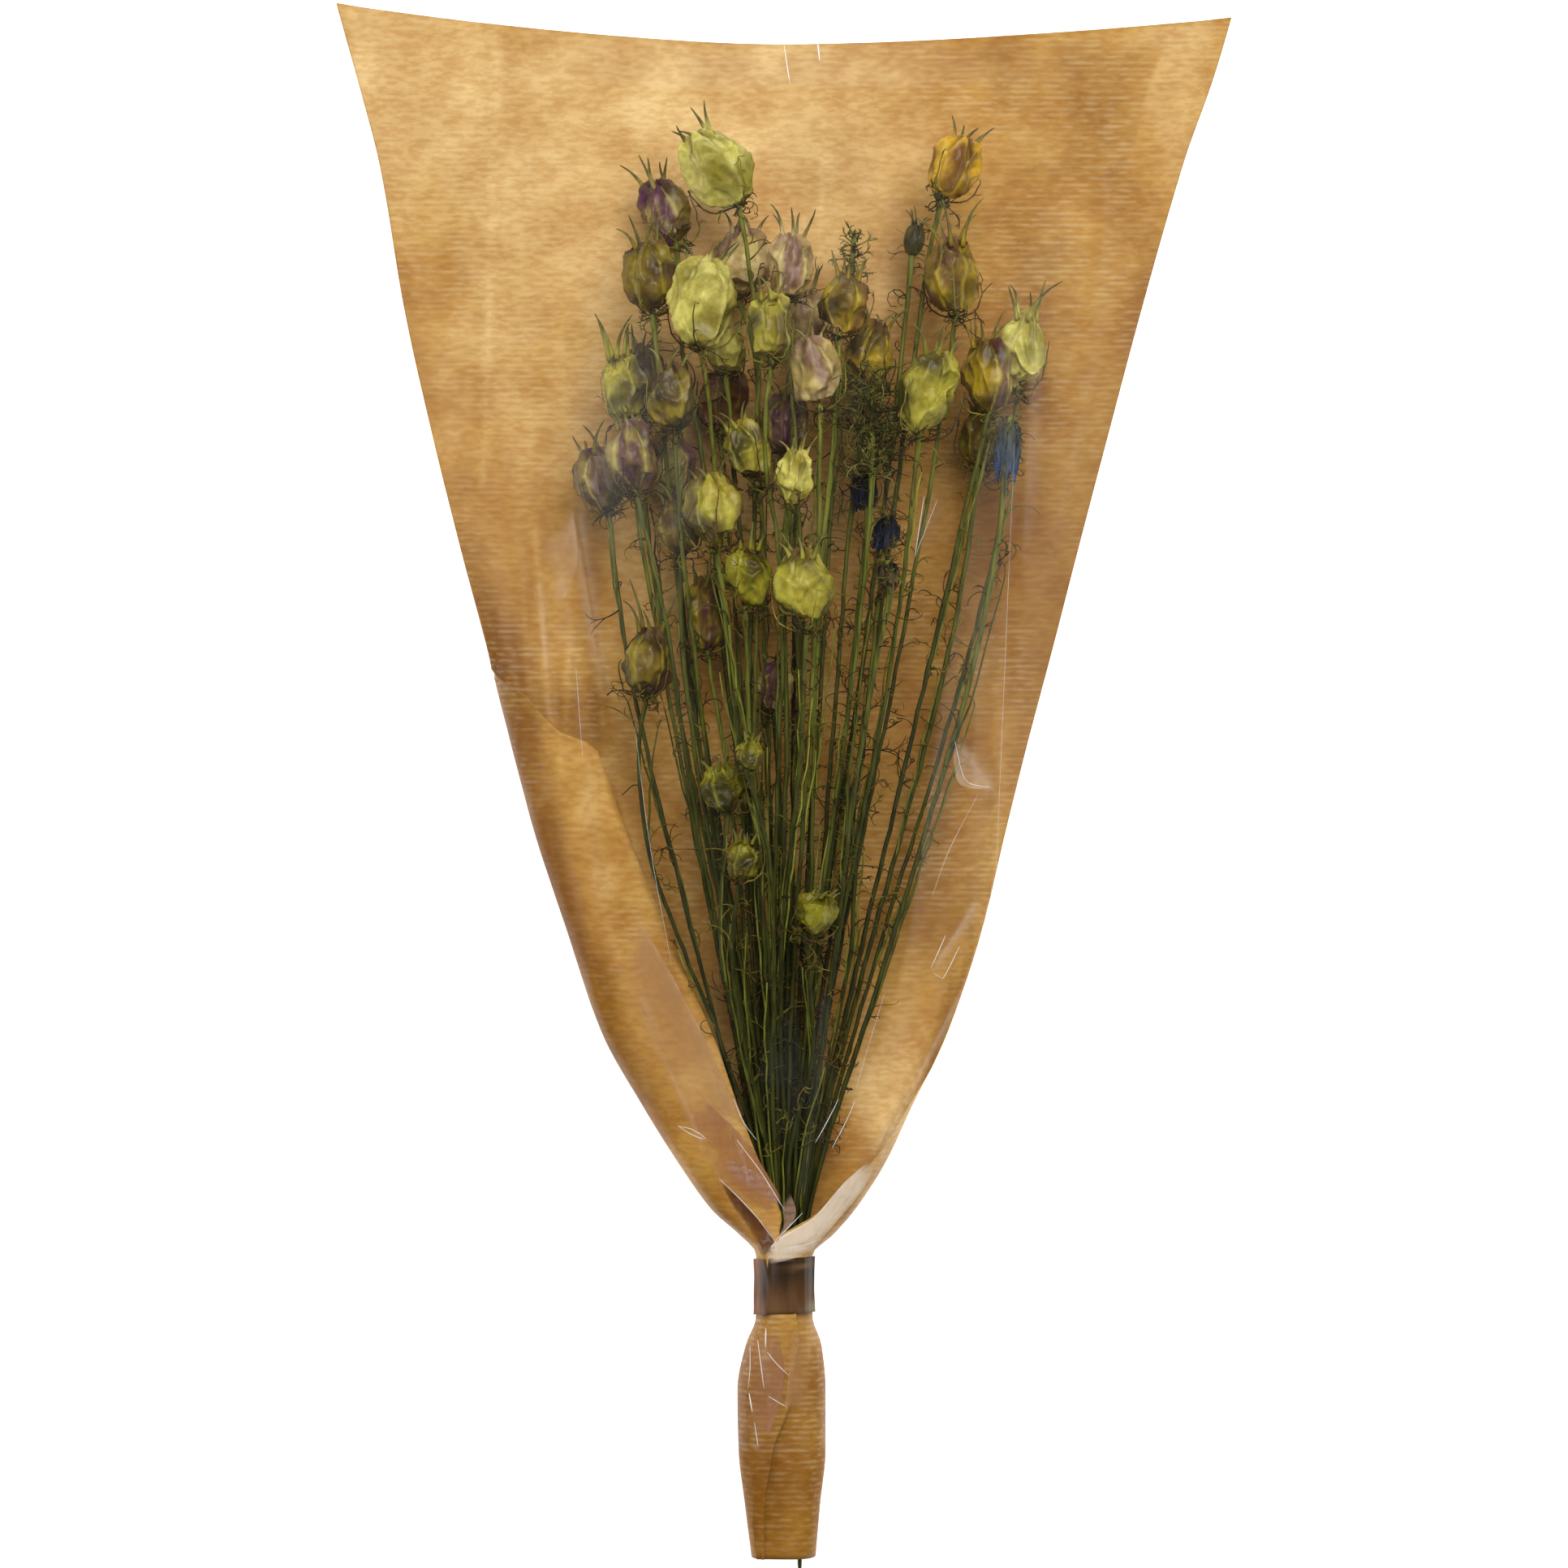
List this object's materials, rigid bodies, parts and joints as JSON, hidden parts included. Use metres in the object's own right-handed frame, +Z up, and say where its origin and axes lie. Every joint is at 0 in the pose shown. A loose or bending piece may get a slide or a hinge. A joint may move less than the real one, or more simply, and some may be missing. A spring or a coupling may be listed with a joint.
{
  "type": "wrapped bunch of dried nigella seed pods",
  "caption": "Dried nigella seed pods on long stems in a kraft paper sleeve with a clear film front, taped at the neck, lying on its paper back",
  "frame": {"origin": "on the table under the middle of the overall box, midway along, across the underside of the paper", "axes": "+Y from the cut stem ends to the mouth of the sleeve, +Z up out of the clear front, +X to the right seen from above"},
  "size_m": [0.311, 0.539, 0.0689],
  "materials": {
    "kraft_paper": "ribbed brown kraft paper, mottled and slightly translucent",
    "clear_film": "thin clear crinkled film",
    "brown_tape": "glossy translucent brown tape",
    "dried_pod": "dry papery capsule, green and straw with purple ribs, on a green stem",
    "blue_petal": "shrivelled dark blue petals",
    "dried_foliage": "dry dark green thread-like leaves"
  },
  "bodies": {
    "root": {"kraft_paper": "kraft_paper", "clear_film": "clear_film", "neck_tape": "brown_tape", "nigella_01": "dried_pod", "nigella_02": "dried_pod", "nigella_03": "dried_pod", "nigella_04": "dried_pod", "nigella_05": "dried_pod", "nigella_06": "dried_pod", "nigella_07": "dried_pod", "nigella_08": "dried_pod", "nigella_09": "dried_pod", "nigella_10": "dried_pod", "nigella_11": "dried_pod", "nigella_12": "dried_pod", "nigella_13": "dried_pod", "nigella_14": "dried_pod", "nigella_15": "dried_pod", "nigella_16": "dried_pod", "nigella_17": "dried_pod", "nigella_18": "dried_pod", "nigella_19": "dried_pod", "nigella_20": "dried_pod", "nigella_21": "dried_pod", "nigella_22": "dried_pod", "nigella_23": "dried_pod", "nigella_24": "dried_pod", "nigella_25": "dried_pod", "nigella_26": "dried_pod", "nigella_27": "dried_pod", "nigella_28": "dried_pod", "nigella_29": "dried_pod", "nigella_30": "dried_pod", "nigella_31": "dried_pod", "nigella_32": "dried_pod", "nigella_33": "dried_pod", "nigella_34": "dried_pod", "nigella_35": "dried_pod", "nigella_36": "dried_pod", "nigella_37": "dried_pod", "nigella_38": "dried_pod", "nigella_39": "dried_pod", "blue_bloom_1": "blue_petal", "blue_bloom_2": "blue_petal", "blue_bloom_3": "blue_petal", "dried_bloom": "dried_foliage", "dark_bud": "dried_foliage", "leafy_spray": "dried_foliage", "leafy_tip": "dried_foliage", "thin_sprig": "dried_foliage"}
  },
  "joints": []
}
